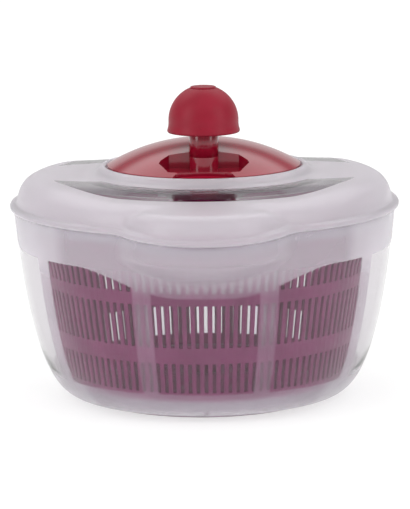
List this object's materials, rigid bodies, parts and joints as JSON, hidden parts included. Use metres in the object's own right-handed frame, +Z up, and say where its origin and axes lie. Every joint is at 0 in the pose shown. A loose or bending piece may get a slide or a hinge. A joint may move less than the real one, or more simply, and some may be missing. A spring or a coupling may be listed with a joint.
{
  "type": "salad spinner",
  "caption": "Hand-cranked salad spinner: translucent pouring bowl, slotted basket, and a lid whose geared crank dome and knob spin the basket.",
  "frame": {"origin": "centre of the foot ring on the surface that the bowl stands on", "axes": "+Z up along the spinning axis, pouring spouts along -Y and +Y, knob towards -Y at rest"},
  "size_m": [0.2598, 0.302, 0.2124],
  "materials": {
    "frosted": "satin",
    "berry": "gloss",
    "white_plastic": "satin",
    "ivory_plastic": "satin",
    "red_gloss": "gloss",
    "red_satin": "satin",
    "steel": "brushed"
  },
  "bodies": {
    "bowl": {"bowl": "frosted"},
    "basket_bearing": {"pivot_cup": "white_plastic"},
    "basket": {"basket": "berry"},
    "lid": {"lid": "frosted", "gear_housing": "white_plastic", "housing_screws": "steel", "shaft_bush": "white_plastic", "planet_pins": "steel"},
    "crank": {"ring_gear": "ivory_plastic", "crank_dome": "red_gloss", "crank_post": "red_gloss", "post_screw": "steel", "knob_washer": "white_plastic", "knob_screw": "steel"},
    "knob": {"knob": "red_satin", "knob_cap": "red_satin"},
    "planet_1": {"planet_gear_1": "ivory_plastic"},
    "planet_2": {"planet_gear_2": "ivory_plastic"},
    "planet_3": {"planet_gear_3": "ivory_plastic"},
    "drive": {"sun_gear": "ivory_plastic", "drive_shaft": "steel", "shaft_washer": "white_plastic", "shaft_clip": "steel", "drive_spider": "berry"}
  },
  "joints": [
    {"name": "basket_lift", "type": "slide", "parent": "bowl", "child": "basket_bearing", "axis": [0, 0, 1], "range_m": [0, 0.15]},
    {"name": "basket_spin", "type": "hinge", "parent": "basket_bearing", "child": "basket", "pos_m": [0, 0, 0.013], "axis": [0, 0, 1], "continuous": true},
    {"name": "lid_lift", "type": "slide", "parent": "basket_bearing", "child": "lid", "axis": [0, 0, 1], "range_m": [0, 0.15]},
    {"name": "crank_spin", "type": "hinge", "parent": "lid", "child": "crank", "pos_m": [0, 0, 0.15], "axis": [0, 0, 1], "continuous": true},
    {"name": "knob_spin", "type": "hinge", "parent": "crank", "child": "knob", "pos_m": [0, -0.036, 0.19], "axis": [0, 0, 1], "continuous": true},
    {"name": "drive_spin", "type": "hinge", "parent": "lid", "child": "drive", "pos_m": [0, 0, 0.13], "axis": [0, 0, 1], "continuous": true},
    {"name": "planet_1_spin", "type": "hinge", "parent": "lid", "child": "planet_1", "pos_m": [0.0225, 0, 0.1475], "axis": [0, 0, 1], "continuous": true},
    {"name": "planet_2_spin", "type": "hinge", "parent": "lid", "child": "planet_2", "pos_m": [-0.01125, 0.01949, 0.1475], "axis": [0, 0, 1], "continuous": true},
    {"name": "planet_3_spin", "type": "hinge", "parent": "lid", "child": "planet_3", "pos_m": [-0.01125, -0.01949, 0.1475], "axis": [0, 0, 1], "continuous": true}
  ],
  "couplings": [
    {"joint": "drive_spin", "follows": "crank_spin", "ratio": -4},
    {"joint": "basket_spin", "follows": "crank_spin", "ratio": -4},
    {"joint": "planet_1_spin", "follows": "crank_spin", "ratio": 2.6667},
    {"joint": "planet_2_spin", "follows": "crank_spin", "ratio": 2.6667},
    {"joint": "planet_3_spin", "follows": "crank_spin", "ratio": 2.6667}
  ]
}
